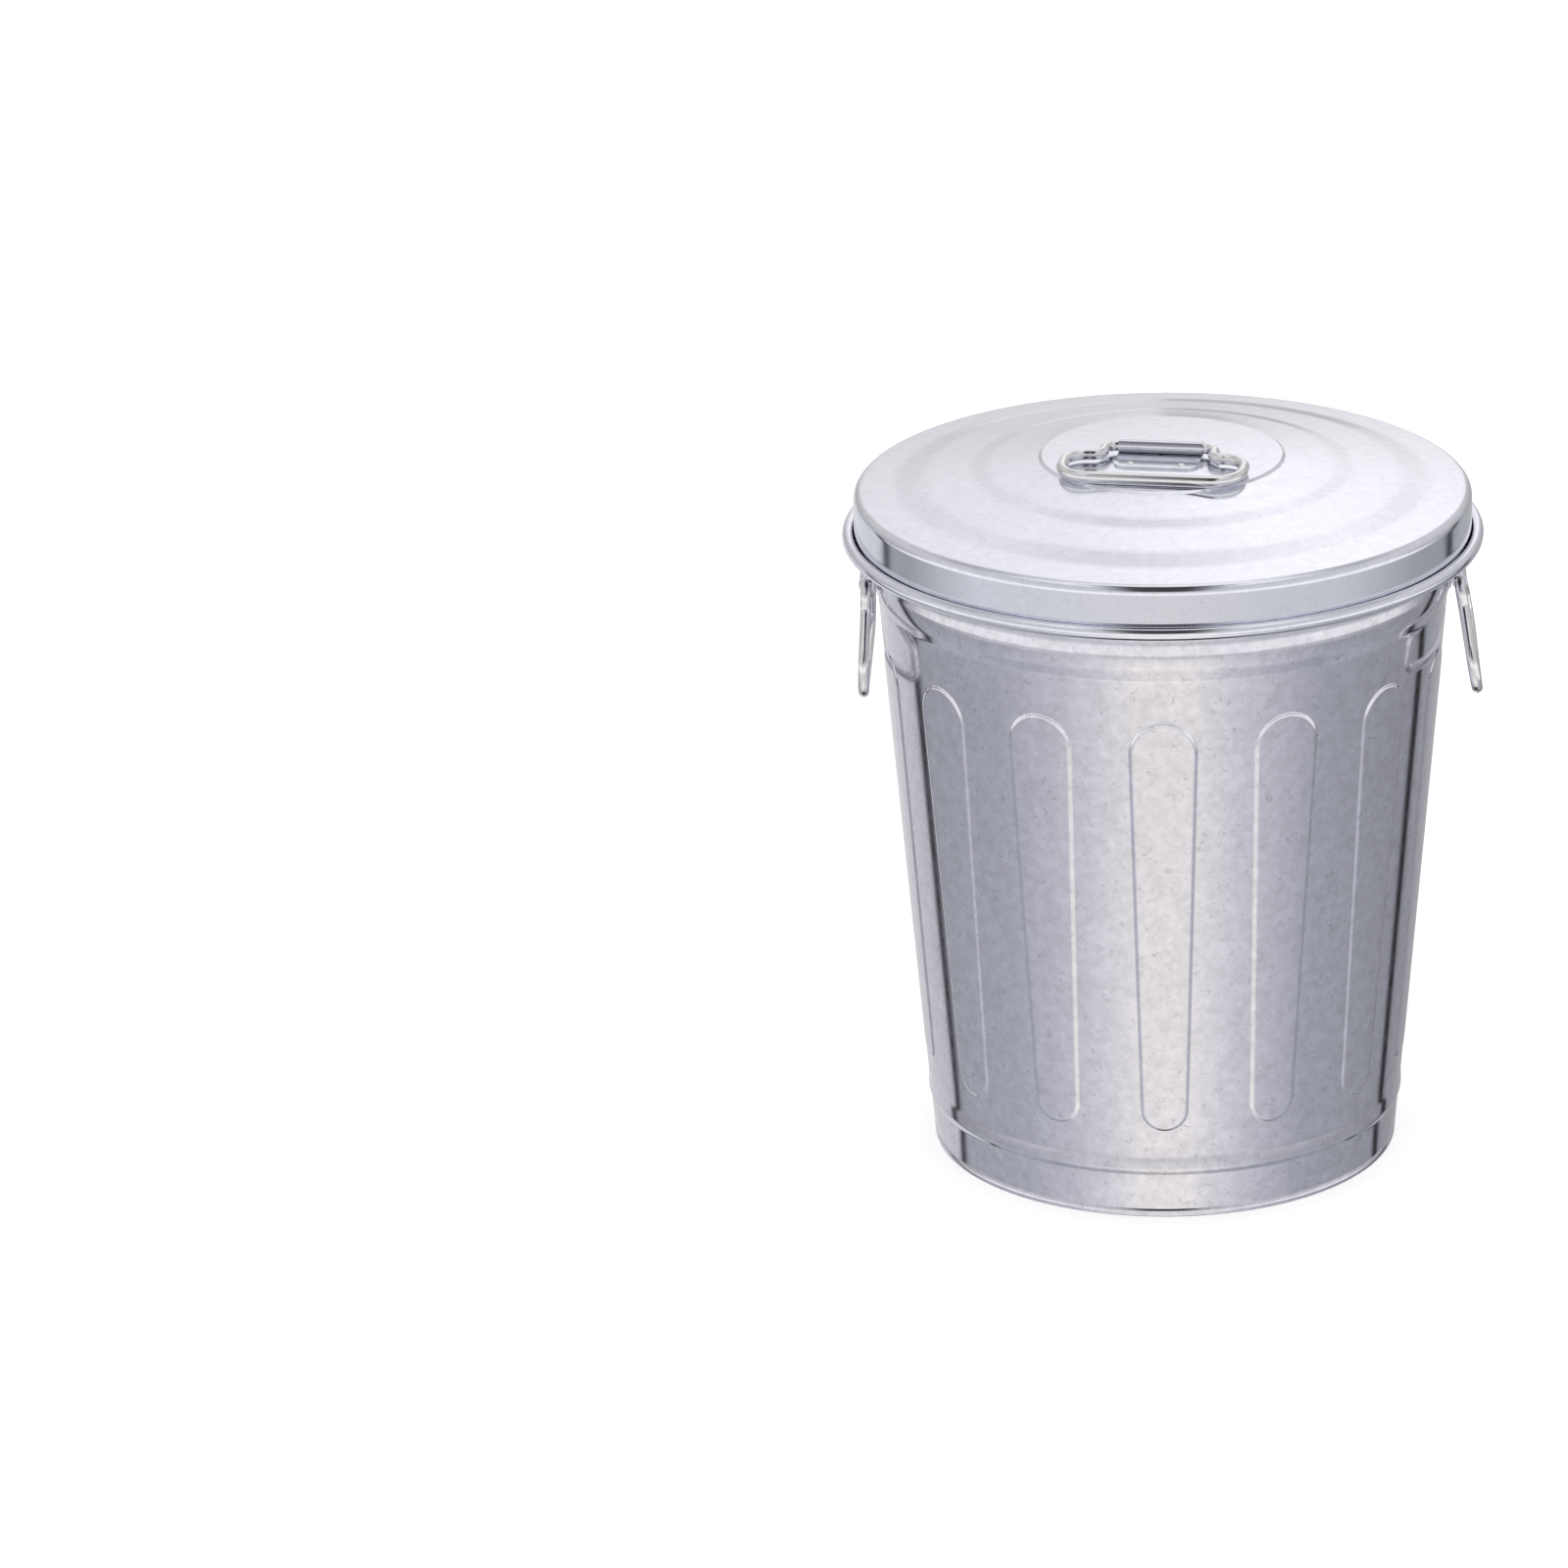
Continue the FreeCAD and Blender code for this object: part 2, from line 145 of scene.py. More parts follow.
def sheet_line(bm, corners, bends):
    """Open line through the corners. A bend is (how far back it starts, segments), or (0, 0) for none."""
    verts = [bm.verts.new(corner) for corner in corners]
    for first, second in zip(verts, verts[1:]):
        bm.edges.new((first, second))
    ends = (verts[0], verts[-1])
    for vert, (setback, segments) in zip(verts[1:-1], bends):
        if setback:
            bmesh.ops.bevel(bm, geom=[vert], offset=setback, offset_type="OFFSET",
                            affect="VERTICES", segments=segments, profile=0.5, material=-1)
    return ends


def roll_end(bm, end, centre, angle, steps):
    """Carries the line on round a centre in the XZ plane, from Z towards X."""
    bmesh.ops.spin(bm, geom=[end], cent=centre, axis=(0, 1, 0), angle=math.radians(angle), steps=steps,
                   use_merge=False)


def lathe(bm):
    """Turns a line in the XZ plane into a closed round sheet."""
    bmesh.ops.spin(bm, geom=bm.verts[:] + bm.edges[:], cent=(0, 0, 0), axis=(0, 0, 1), angle=math.tau,
                   steps=STEPS_ROUND, use_merge=True)
    bmesh.ops.remove_doubles(bm, verts=bm.verts, dist=0.001)
    bmesh.ops.recalc_face_normals(bm, faces=bm.faces)


def thicken(piece, side):
    """Gives a sheet its thickness, on the outside (1) or the inside (-1) of its faces."""
    sheet = piece.modifiers.new("sheet", "SOLIDIFY")
    sheet.thickness = SHEET * MM
    sheet.offset = side


# --- finishes ---
def new_material(name):
    material = bpy.data.materials.new(name)
    material.use_nodes = True
    return material, material.node_tree.nodes, material.node_tree.links


def galvanized(name, tone, spread, rough, cell, flecks):
    """Zinc-coated steel: soft clouds, a fine spangle of crystals and sparse darker flecks. The cell is the
    crystals' size in metres, the spread how far the tone varies."""
    faint, full = 0.3, 0.7            # span of the spangle pattern that carries the tone
    material, nodes, links = new_material(name)
    shader = nodes["Principled BSDF"]
    shader.inputs["Metallic"].default_value = 1.0
    place = nodes.new("ShaderNodeTexCoord")

    def pattern(kind, scale, output, **settings):
        node = nodes.new(kind)
        node.inputs["Scale"].default_value = scale
        for socket, value in settings.items():
            node.inputs[socket].default_value = value
        links.new(place.outputs["Object"], node.inputs["Vector"])
        return node.outputs[output]

    def span(value, low, high, to_low, to_high):
        node = nodes.new("ShaderNodeMapRange")
        for socket, number in (("From Min", low), ("From Max", high),
                               ("To Min", to_low), ("To Max", to_high)):
            node.inputs[socket].default_value = number
        links.new(value, node.inputs["Value"])
        return node.outputs["Result"]

    def blend(factor, first, second):
        node = nodes.new("ShaderNodeMix")
        node.data_type = "FLOAT"
        node.inputs["Factor"].default_value = factor
        links.new(first, node.inputs["A"])
        links.new(second, node.inputs["B"])
        return node.outputs["Result"]

    clouds = pattern("ShaderNodeTexNoise", 0.5 / cell, "Fac", Detail=5.0, Roughness=0.65)
    crystals = pattern("ShaderNodeTexVoronoi", 1.0 / cell, "Color")
    fleck = pattern("ShaderNodeTexNoise", 0.8 / cell, "Fac", Detail=2.0, Roughness=0.5, Distortion=1.6)
    spangle = blend(0.22, clouds, crystals)
    dark = span(fleck, 0.63, 0.72, 0.0, flecks)

    colour = nodes.new("ShaderNodeValToRGB")
    colour.color_ramp.elements[0].position = faint
    colour.color_ramp.elements[0].color = (*[c * (1.0 - spread) for c in tone], 1.0)
    colour.color_ramp.elements[1].position = full
    colour.color_ramp.elements[1].color = (*[min(c * (1.0 + spread), 1.0) for c in tone], 1.0)
    links.new(spangle, colour.inputs["Fac"])
    speck = nodes.new("ShaderNodeMix")
    speck.data_type = "RGBA"
    speck.inputs["B"].default_value = (*[c * 0.72 for c in tone], 1.0)
    links.new(dark, speck.inputs["Factor"])
    links.new(colour.outputs["Color"], speck.inputs["A"])
    links.new(speck.outputs["Result"], shader.inputs["Base Color"])
    links.new(span(spangle, faint, full, rough * 1.25, rough * 0.8), shader.inputs["Roughness"])

    # slight waves in the sheet, then the spangle's own relief on top of them
    waves = pattern("ShaderNodeTexNoise", 14.0, "Fac", Detail=1.0)
    relief = None
    for height, strength, depth in ((waves, 0.12, 0.001), (spangle, 0.05, 0.0002)):
        bump = nodes.new("ShaderNodeBump")
        bump.inputs["Strength"].default_value = strength
        bump.inputs["Distance"].default_value = depth
        links.new(height, bump.inputs["Height"])
        if relief:
            links.new(relief, bump.inputs["Normal"])
        relief = bump.outputs["Normal"]
    links.new(relief, shader.inputs["Normal"])
    return material


body_zinc = galvanized("body_zinc", tone=(0.735, 0.725, 0.795), spread=0.11, rough=0.105, cell=0.0036,
                       flecks=0.8)
lid_zinc = galvanized("lid_zinc", tone=(0.838, 0.843, 0.915), spread=0.05, rough=0.13, cell=0.0036, flecks=0.3)
wire_zinc = galvanized("wire_zinc", tone=(0.82, 0.82, 0.83), spread=0.06, rough=0.14, cell=0.003, flecks=0.2)


# --- body wall, with its flutes ---
def line_points(corners, bends, roll=None):
    """Points along a sheet's section: rounded corners, then the rolled edge if it has one."""
    bm = bmesh.new()
    start, end = sheet_line(bm, corners, bends)
    if roll:
        roll_end(bm, end, *roll)
    bmesh.ops.remove_doubles(bm, verts=bm.verts, dist=0.0001)
    bm.verts.ensure_lookup_table()
    at = min((v for v in bm.verts if len(v.link_edges) == 1), key=lambda v: (v.co - corners[0]).length)
    points = [at.co.copy()]
    seen = {at}
    while True:
        ahead = [e.other_vert(at) for e in at.link_edges if e.other_vert(at) not in seen]
        if not ahead:
            break
        at = ahead[0]
        seen.add(at)
        points.append(at.co.copy())
    bm.free()
    return points


SIDE_STEPS = 14
ARC_STEPS = 20
PITCH = math.tau / FLUTES
LEAN = math.asin((FLUTE_TOP_RADIUS - FLUTE_BOTTOM_RADIUS)
                 / (FLUTE_TOP - FLUTE_TOP_RADIUS - FLUTE_BOTTOM - FLUTE_BOTTOM_RADIUS))
PANEL_LOW = 44.0
PANEL_HIGH = 307.0


def flute_loop(out, share=1.0):
    """Loop round a flute, a distance outside its outline or shrunk by a share, as (across, z) pairs."""
    top = (FLUTE_TOP_RADIUS + out) * share
    bottom = (FLUTE_BOTTOM_RADIUS + out) * share
    top_z = FLUTE_TOP - FLUTE_TOP_RADIUS
    bottom_z = FLUTE_BOTTOM + FLUTE_BOTTOM_RADIUS
    low = Vector((bottom * math.cos(LEAN), bottom_z - bottom * math.sin(LEAN)))
    high = Vector((top * math.cos(LEAN), top_z - top * math.sin(LEAN)))
    loop = [low.lerp(high, i / SIDE_STEPS) for i in range(SIDE_STEPS)]
    sweep = math.pi + 2 * LEAN
    for i in range(ARC_STEPS):
        turn = -LEAN + sweep * i / ARC_STEPS
        loop.append(Vector((top * math.cos(turn), top_z + top * math.sin(turn))))
    loop += [Vector((-p.x, p.y)) for p in [high] + loop[SIDE_STEPS - 1:0:-1]]
    sweep = math.pi - 2 * LEAN
    for i in range(ARC_STEPS):
        turn = math.pi + LEAN + sweep * i / ARC_STEPS
        loop.append(Vector((bottom * math.cos(turn), bottom_z + bottom * math.sin(turn))))
    return loop


def panel_edge():
    """Loop round the panel that holds one flute, point for point with the flute's loops, as (angle, z)
    pairs. The first steps of each round end go up or down the panel's sides, the rest along its edge."""
    outline = flute_loop(0.0)
    low_arc = 2 * SIDE_STEPS + ARC_STEPS
    corner = ARC_STEPS // 5
    loop = []
    for i, point in enumerate(outline):
        low = i >= low_arc
        start = low_arc if low else SIDE_STEPS
        if not low and not SIDE_STEPS <= i < SIDE_STEPS + ARC_STEPS:
            loop.append(Vector((math.copysign(PITCH / 2, point.x), point.y)))
            continue
        step = i - start
        side_z = outline[start].y
        edge_z = PANEL_LOW if low else PANEL_HIGH
        near = min(step, ARC_STEPS - step)
        first = -1.0 if low else 1.0
        side = first if step < ARC_STEPS / 2 else -first
        if near <= corner:
            loop.append(Vector((side * PITCH / 2, side_z + (edge_z - side_z) * near / corner)))
        else:
            along = 1 - 2 * (step - corner) / (ARC_STEPS - 2 * corner)
            loop.append(Vector((first * along * PITCH / 2, edge_z)))
    return loop


def raised(out):
    """How far the sheet stands out at a distance from the flute's outline."""
    share = min(max((FLUTE_START - out) / FLUTE_SIDE, 0.0), 1.0)
    return FLUTE_DEPTH * share * share * (3 - 2 * share)


def set_on_wall(vert, angle, z, out):
    radius = wall_radius(z) + out
    vert.co = (radius * math.sin(angle), -radius * math.cos(angle), z)


def next_loop(bm, loop):
    """Extrudes a closed loop of verts once and gives the new verts in the same order."""
    edges = [bm.edges.get((a, b)) for a, b in zip(loop, loop[1:] + loop[:1])]
    made = bmesh.ops.extrude_edge_only(bm, edges=edges)["geom"]
    new = {v for v in made if isinstance(v, bmesh.types.BMVert)}
    return [next(e.other_vert(v) for e in v.link_edges if e.other_vert(v) in new) for v in loop]


def flute_panel(bm):
    """One flute and the wall round it, from the panel's border in to the flute's middle."""
    border = panel_edge()
    flat = [Vector((p.x / wall_radius(p.y), p.y)) for p in flute_loop(FLUTE_RINGS[0])]
    loop = [bm.verts.new() for _ in border]
    for vert, point in zip(loop, border):
        set_on_wall(vert, point.x, point.y, 0.0)
    for a, b in zip(loop, loop[1:] + loop[:1]):
        bm.edges.new((a, b))
    for share in (0.25, 0.5, 0.75):
        loop = next_loop(bm, loop)
        for vert, far, near in zip(loop, border, flat):
            point = far.lerp(near, share)
            set_on_wall(vert, point.x, point.y, 0.0)
    rings = [(out, 1.0) for out in FLUTE_RINGS] + [(FLUTE_RINGS[-1], share) for share in FLUTE_SHARES]
    for out, share in rings:
        loop = next_loop(bm, loop)
        for vert, point in zip(loop, flute_loop(out, share)):
            set_on_wall(vert, math.asin(point.x / wall_radius(point.y)), point.y, raised(out))
    bmesh.ops.remove_doubles(bm, verts=bm.verts, dist=0.002)


def carry_on(bm, height, points):
    """Carries the wall on from its open edge at a height, row by row through (radius, z) points."""
    row = [v for v in bm.verts if abs(v.co.z - height) < 0.001 and v.is_boundary]
    row.sort(key=lambda v: math.atan2(v.co.y, v.co.x))
    for point in points:
        row = next_loop(bm, row)
        for vert in row:
            around = Vector((vert.co.x, vert.co.y)).normalized() * point.x
            vert.co = (around.x, around.y, point.z)


def rounded_block(bm, size, radius, matrix):
    made = bmesh.ops.create_cube(bm, size=1.0)["verts"]
    bmesh.ops.scale(bm, vec=size, verts=made)
    bmesh.ops.transform(bm, matrix=matrix, verts=made)
    edges = list({e for v in made for e in v.link_edges})
    bmesh.ops.bevel(bm, geom=edges, offset=radius, affect="EDGES", segments=3, profile=0.5, material=-1)


def side_seam():
    """Folded seam that stands out of the wall between two flutes at the back."""
    middle = (SEAM_LOW + SEAM_HIGH) / 2
    length = (SEAM_HIGH - SEAM_LOW) / math.cos(TAPER)
    matrix = (Matrix.Rotation(PITCH * ((FLUTES + 1) / 2), 4, "Z")
              @ Matrix.Translation((0, -wall_radius(middle) - SEAM_OUT, middle))
              @ Matrix.Rotation(TAPER, 4, "X"))
    bm = bmesh.new()
    rounded_block(bm, (SEAM_WIDTH, SEAM_FOLD, length), SEAM_ROUND, matrix)
    return bm


def clip_flats():
    """Flats pressed out of the neck under the two side clips."""
    bm = bmesh.new()
    for turn in (0.0, math.pi):
        matrix = (Matrix.Rotation(turn, 4, "Z") @ Matrix.Translation(on_wall(CLIP_SEAT_HEIGHT, NECK_OUT))
                  @ Matrix.Rotation(TAPER, 4, "Y") @ Matrix.Translation((-FLAT_SIZE[0] / 2, 0, FLAT_RAISE)))
        rounded_block(bm, FLAT_SIZE, FLAT_ROUND, matrix)
    return bm


rim_start_z = BODY_TOP - RIM_BORE - SHEET + RIM_BORE * math.sin(TAPER)
rim_start = on_wall(rim_start_z, NECK_OUT)
rim_centre = rim_start + Vector((math.cos(TAPER), 0, -math.sin(TAPER))) * RIM_BORE
neck_line = line_points(
    [on_wall(PANEL_HIGH), on_wall(NECK_LOW), on_wall(NECK_CREST, NECK_SWELL), on_wall(NECK_HIGH, NECK_IN),
     rim_start],
    [(1.2, 4), (5.8, 16), (3.0, 4)], (rim_centre, ROLL_ANGLE, 20))
foot_line = line_points(
    [on_wall(PANEL_LOW), on_wall(FOOT_CREASE), on_wall(FOOT_CREST, FOOT_BEAD), on_wall(FOOT_BAND, -FOOT_TUCK),
     *(on_wall(z, -FOOT_TUCK) for z in FOOT_ROWS)],
    [(1.4, 4), (1.1, 4), (0.8, 4), (0, 0), (0, 0)])

wall = bmesh.new()
flute_panel(wall)
bmesh.ops.spin(wall, geom=wall.verts[:] + wall.edges[:] + wall.faces[:], cent=(0, 0, 0), axis=(0, 0, 1),
               angle=PITCH * (FLUTES - 1), steps=FLUTES - 1, use_duplicate=True)
bmesh.ops.remove_doubles(wall, verts=wall.verts, dist=0.01)
carry_on(wall, PANEL_HIGH, neck_line[1:])
carry_on(wall, PANEL_LOW, foot_line[1:])
bmesh.ops.recalc_face_normals(wall, faces=wall.faces)
thicken(finish_mesh(wall, "fluted_wall", "can", ["body_shell"], body_zinc), -1)
finish_mesh(side_seam(), "side_seam", "can", ["body_shell"], body_zinc)
finish_mesh(clip_flats(), "clip_flats", "can", ["body_shell"], body_zinc)


# --- bottom pan ---
pan = bmesh.new()
hook_out = -FOOT_TUCK + HOOK_GAP
hook_in = -FOOT_TUCK - SHEET - HOOK_GAP
sheet_line(pan, [on_wall(HOOK_TOP, hook_out), on_wall(HOOK_LOW, hook_out), on_wall(HOOK_LOW, hook_in),
                 on_wall(PAN_HEIGHT, hook_in), Vector((0, 0, PAN_HEIGHT))],
           [(0.1, 3), (0.1, 3), (PAN_CORNER, 8)])
lathe(pan)
thicken(finish_mesh(pan, "bottom_pan", "can", ["body_bottom"], body_zinc), 1)


# --- lid ---
# each corner is (radius, height, bend): the disc and its step, two gentle rings that end in steeper steps,
# the shoulder, and two rows that keep the shading of the skirt even between shoulder and bead
lid_corners = [
    (0, LID_TOP, None),
    (DISC_RADIUS, LID_TOP, (0.35, 3)),
    (67.1, LID_TOP - 1.2, (0.5, 3)),
    (94, LID_TOP - 5.4, (2.5, 5)),
    (104, LID_TOP - 8.1, (2.5, 5)),
    (130, LID_TOP - 11.9, (3.0, 5)),
    (146, LID_TOP - 16.1, (3.0, 5)),
    (SKIRT_RADIUS, SHOULDER_HEIGHT, (SHOULDER_BEND, 14)),
    (SKIRT_RADIUS, SHOULDER_HEIGHT - 5.2, (0, 0)),
    (SKIRT_RADIUS, LID_BEAD_HEIGHT + 4.5, (0, 0)),
    (SKIRT_RADIUS, LID_BEAD_HEIGHT, None),
]
lid = bmesh.new()
_, lid_end = sheet_line(lid, [Vector((r, 0, z)) for r, z, _ in lid_corners],
                        [bend for *_, bend in lid_corners[1:-1]])
roll_end(lid, lid_end, (SKIRT_RADIUS + LID_BEAD_BORE, 0, LID_BEAD_HEIGHT), -ROLL_ANGLE, 24)
lathe(lid)
thicken(finish_mesh(lid, "stepped_lid", "lid", ["lid_shell"], lid_zinc), -1)


# --- bails ---
def new_verts(made):
    return [v for v in made if isinstance(v, bmesh.types.BMVert)]


def bent_wire(corners):
    """Round wire bent through the corners of a closed bail, each (half width, reach, bend radius)."""
    right = [(Vector((width, -reach, 0)), bend) for width, reach, bend in reversed(corners)]
    left = [(Vector((-point.x, point.y, 0)), bend) for point, bend in reversed(right)]
    path = [(Vector((-WIRE_END, 0, 0)), 0)] + left + right + [(Vector((WIRE_END, 0, 0)), 0)]
    bm = bmesh.new()
    bmesh.ops.create_circle(bm, segments=WIRE_FACETS, radius=WIRE_RADIUS, cap_ends=False,
                            matrix=Matrix.Translation(path[0][0]) @ Matrix.Rotation(math.pi / 2, 4, "Y"))
    ring = bm.edges[:]
    at = path[0][0]
    for (before, _), (corner, bend), (after, _) in zip(path, path[1:], path[2:]):
        back = (before - corner).normalized()
        ahead = (after - corner).normalized()
        half = back.angle(ahead) / 2
        made = bmesh.ops.extrude_edge_only(bm, edges=ring)["geom"]
        moved = new_verts(made)
        bmesh.ops.translate(bm, vec=corner + back * (bend / math.tan(half)) - at, verts=moved)
        ring = [e for e in made if isinstance(e, bmesh.types.BMEdge)
                and e.verts[0] in moved and e.verts[1] in moved]
        centre = corner + (back + ahead).normalized() * (bend / math.sin(half))
        axis = (-back).cross(ahead).normalized()
        turn = math.pi - 2 * half
        made = bmesh.ops.spin(bm, geom=ring, cent=centre, axis=axis, angle=turn,
                              steps=max(4, round(turn / WIRE_STEP)), use_merge=False)["geom_last"]
        ring = [e for e in made if isinstance(e, bmesh.types.BMEdge)]
        at = corner + ahead * (bend / math.tan(half))
    made = bmesh.ops.extrude_edge_only(bm, edges=ring)["geom"]
    bmesh.ops.translate(bm, vec=path[-1][0] - at, verts=new_verts(made))
    bmesh.ops.remove_doubles(bm, verts=bm.verts, dist=0.001)
    bmesh.ops.holes_fill(bm, edges=[e for e in bm.edges if e.is_boundary])
    bmesh.ops.recalc_face_normals(bm, faces=bm.faces)
    return bm


def standing(origin, along, normal):
    """Matrix that sets a piece's X axis along one direction and its Z axis along another."""
    across = normal.cross(along)
    turn = Matrix((along, across, normal)).transposed().to_4x4()
    return Matrix.Translation(origin) @ turn


LID_BAIL = [(BAIL_LEG, 0, 6.5), (BAIL_LEG, 16.0, 6.0), (49.0, 16.0, 12.5), (49.0, 52.7, 17.0)]
SIDE_BAIL = [(BAIL_LEG, 0, 6.5), (BAIL_LEG, 13.0, 6.0), (58.5, 32.0, 10.0), (58.5, 52.0, 9.0)]


def add_bail(name, corners, matrix, body):
    """Bail in the place of the CAD bail, whose node has the body's name."""
    bm = bent_wire(corners)
    bmesh.ops.transform(bm, matrix=matrix, verts=bm.verts)
    finish_mesh(bm, name, body, [body], wire_zinc, sharp=60.0)


lid_along = Vector((math.cos(LID_TURN), math.sin(LID_TURN), 0))
lid_up = Matrix.Rotation(LID_DROOP, 3, lid_along) @ Vector((0, 0, 1))
add_bail("lid_grip", LID_BAIL, standing(LID_SEAT + Vector((0, 0, BARREL_HEIGHT)), lid_along, lid_up),
         "lid_bail")


def hanging(tilt):
    """Matrix of the right side's bail, hanging with its lower end tilted outwards."""
    return standing(SIDE_AXIS, Vector((0, -1, 0)), Vector((-math.cos(tilt), 0, -math.sin(tilt))))


half_turn = Matrix.Rotation(math.pi, 4, "Z")
add_bail("right_grip", SIDE_BAIL, hanging(RIGHT_TILT), "right_bail")
add_bail("left_grip", SIDE_BAIL, half_turn @ hanging(LEFT_TILT), "left_bail")


# --- clips, rivets and rim wire: the CAD's own meshes, with a finish ---
for node, finish in (("lid_clip", lid_zinc), ("right_clip", body_zinc), ("left_clip", body_zinc),
                     ("lid_rivets", wire_zinc), ("body_rivets", wire_zinc), ("rim_wire", wire_zinc)):
    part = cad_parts[node]
    part.data.materials.clear()
    part.data.materials.append(finish)


# --- floor, backdrop and light ---
FLOOR_HALF = 30.0       # metres
FLOOR_GLOW = 0.35       # what lifts the floor to the white of the backdrop, in the picture alone


def studio_floor():
    """White floor that keeps the can's soft shadow and stays out of its reflections."""
    bm = bmesh.new()
    bmesh.ops.create_grid(bm, x_segments=1, y_segments=1, size=FLOOR_HALF)
    mesh = bpy.data.meshes.new("floor")
    bm.to_mesh(mesh)
    bm.free()
    material, nodes, links = new_material("floor_white")
    shader = nodes["Principled BSDF"]
    shader.inputs["Base Color"].default_value = (0.9, 0.9, 0.9, 1.0)
    shader.inputs["Roughness"].default_value = 0.9
    shader.inputs["Emission Color"].default_value = (1.0, 1.0, 1.0, 1.0)
    rays = nodes.new("ShaderNodeLightPath")
    glow = nodes.new("ShaderNodeMath")
    glow.operation = "MULTIPLY"
    glow.inputs[1].default_value = FLOOR_GLOW
    links.new(rays.outputs["Is Camera Ray"], glow.inputs[0])
    links.new(glow.outputs["Value"], shader.inputs["Emission Strength"])
    clear = nodes.new("ShaderNodeBsdfTransparent")
    mix = nodes.new("ShaderNodeMixShader")
    links.new(rays.outputs["Is Glossy Ray"], mix.inputs["Fac"])
    links.new(shader.outputs["BSDF"], mix.inputs[1])
    links.new(clear.outputs["BSDF"], mix.inputs[2])
    links.new(mix.outputs["Shader"], nodes["Material Output"].inputs["Surface"])
    mesh.materials.append(material)
    floor = bpy.data.objects.new("floor", mesh)
    bpy.context.scene.collection.objects.link(floor)


# What the metal sees of the studio, as (position, level, warmth) stops. Positions are shares of a whole turn
# from the back (0) by the left, the front (0.5) and the right, or (sine of the elevation + 1) / 2.
LEFT_GAP = [(0.147, 0.015, 0.0), (0.158, 0.015, 0.0)]
RIGHT_GAP = [(0.866, 0.01, 0.0), (0.879, 0.01, 0.0)]
# well below the horizon, by the turn: what the tapering wall reflects
GROUND = [(0.0, 0.8, 0.0), (0.143, 0.68, -0.02), *LEFT_GAP, (0.162, 0.46, -0.03), (0.29, 0.5, -0.03),
          (0.37, 0.66, -0.02), (0.42, 0.82, 0.0), (0.465, 0.98, 0.025), (0.535, 0.98, 0.025), (0.58, 0.82, 0.0),
          (0.63, 0.64, -0.02), (0.7, 0.46, -0.03), (0.83, 0.38, -0.03), (0.862, 0.38, -0.03), *RIGHT_GAP,
          (0.883, 0.36, -0.03), (1.0, 0.5, 0.0)]
# how the ground's level changes with the elevation
GROUND_FALL = [(0.0, 0.6, 0.0), (0.06, 0.9, 0.0), (0.145, 1.0, 0.0), (0.175, 1.12, 0.0), (0.21, 1.02, 0.0),
               (0.24, 1.0, 0.0), (0.29, 0.9, 0.0)]
# a little below the horizon, by the turn: what the lid's upright skirt reflects
PANELS = [(0.0, 0.8, 0.0), (0.143, 0.66, -0.02), *LEFT_GAP, (0.162, 0.38, -0.02), (0.2, 0.35, -0.02),
          (0.3, 0.69, -0.02), (0.5, 0.7, 0.0), (0.7, 0.6, -0.02), (0.8, 0.35, -0.02), (0.862, 0.36, -0.02),
          *RIGHT_GAP, (0.883, 0.4, -0.03), (1.0, 0.5, 0.0)]
# the back wall over the horizon, by the elevation: what the lid reflects
BACK_WALL = [(0.45, 0.62, 0.0), (0.5, 0.7, 0.0), (0.57, 0.8, 0.0), (0.675, 0.98, 0.0), (0.8, 1.04, 0.0),
             (0.85, 0.92, 0.0), (0.885, 0.74, 0.0), (0.95, 0.9, 0.0)]
# how the back wall's level changes from the left (0) to the right (1)
BACK_SIDES = [(0.33, 0.62, 0.0), (0.41, 0.86, 0.0), (0.46, 0.93, 0.0), (0.5, 1.03, 0.0), (0.545, 1.12, 0.0),
              (0.59, 1.07, 0.0), (0.66, 0.65, 0.0)]
# over the horizon in front, by the elevation
FRONT_WALL = [(0.5, 1.05, 0.0), (0.56, 0.86, 0.0), (0.62, 0.7, 0.0), (0.9, 0.62, -0.02), (0.96, 1.0, 0.0)]
FRONT_BAND = (1.04, 1.03, 1.01, 1.0)
DARK_MIDDLE = (0.045, 0.045, 0.05, 1.0)


